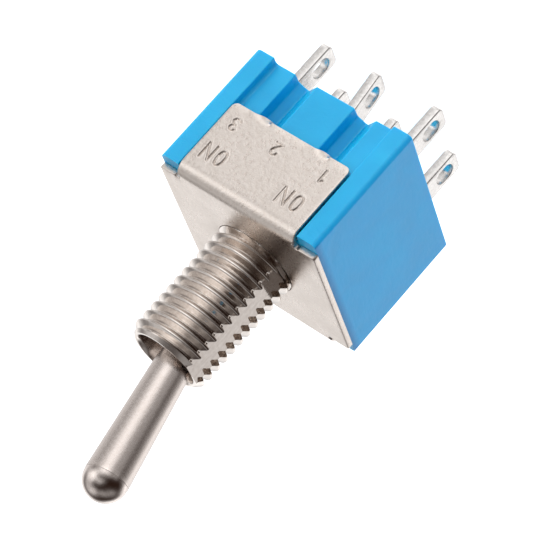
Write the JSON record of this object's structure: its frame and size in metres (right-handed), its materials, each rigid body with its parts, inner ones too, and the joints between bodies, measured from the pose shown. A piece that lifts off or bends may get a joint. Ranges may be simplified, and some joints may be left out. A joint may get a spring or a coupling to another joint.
{
  "type": "toggle switch",
  "caption": "Miniature toggle switch: bat lever tilting in a threaded keyed bushing above a metal cover and plastic case, with solder lugs below.",
  "frame": {"origin": "where the bushing's axis meets the top of the cover plate, the face that seats against a panel", "axes": "+Z out along the bushing, X along the body and the lever's throw with the keyway and the resting lever towards -X, Y across the two rows of lugs with the marked flap at -Y"},
  "size_m": [0.013, 0.013, 0.0329],
  "materials": {
    "case": "moulded blue thermoplastic, half gloss",
    "frame": "pressed steel sheet, satin, warm grey",
    "bushing": "bright nickel plate on turned brass",
    "lever": "satin nickel plate on turned brass",
    "pin": "ground steel",
    "actuator": "natural nylon",
    "plunger": "black acetal",
    "spring": "drawn spring wire",
    "rocker": "silver plate on copper alloy strip",
    "terminal": "bright tin plate on brass strip",
    "contact": "silver rivet"
  },
  "bodies": {
    "root": {"case": "case", "frame": "frame", "bushing": "bushing", "terminal_1": "terminal", "terminal_2": "terminal", "terminal_3": "terminal", "terminal_4": "terminal", "terminal_5": "terminal", "terminal_6": "terminal", "contact_1": "contact", "contact_3": "contact", "contact_4": "contact", "contact_6": "contact"},
    "lever": {"toggle_lever": "lever", "lever_pin": "pin", "actuator": "actuator", "spring_front": "spring", "spring_rear": "spring"},
    "plunger_front": {"plunger_front": "plunger"},
    "plunger_rear": {"plunger_rear": "plunger"},
    "rocker_front": {"rocker_front": "rocker"},
    "rocker_rear": {"rocker_rear": "rocker"}
  },
  "joints": [
    {"name": "lever_tilt", "type": "hinge", "parent": "root", "child": "lever", "pos_m": [0, 0, 0.0054], "axis": [0, 1, 0], "range_deg": [0, 24]},
    {"name": "plunger_front_slide", "type": "slide", "parent": "lever", "child": "plunger_front", "axis": [-0.2079, 0, 0.9781], "range_m": [0, 0.0006], "stiffness_N_per_m": 150, "springref_m": -0.001, "deforming": ["spring_front"]},
    {"name": "plunger_rear_slide", "type": "slide", "parent": "lever", "child": "plunger_rear", "axis": [-0.2079, 0, 0.9781], "range_m": [0, 0.0006], "stiffness_N_per_m": 150, "springref_m": -0.001, "deforming": ["spring_rear"]},
    {"name": "rocker_front_tilt", "type": "hinge", "parent": "root", "child": "rocker_front", "pos_m": [0, -0.0025, -0.00724], "axis": [0, 1, 0], "range_deg": [-12, 0]},
    {"name": "rocker_rear_tilt", "type": "hinge", "parent": "root", "child": "rocker_rear", "pos_m": [0, 0.0025, -0.00724], "axis": [0, 1, 0], "range_deg": [-12, 0]}
  ],
  "couplings": [
    {"joint": "rocker_front_tilt", "follows": "lever_tilt", "ratio": -0.5},
    {"joint": "rocker_rear_tilt", "follows": "lever_tilt", "ratio": -0.5}
  ]
}
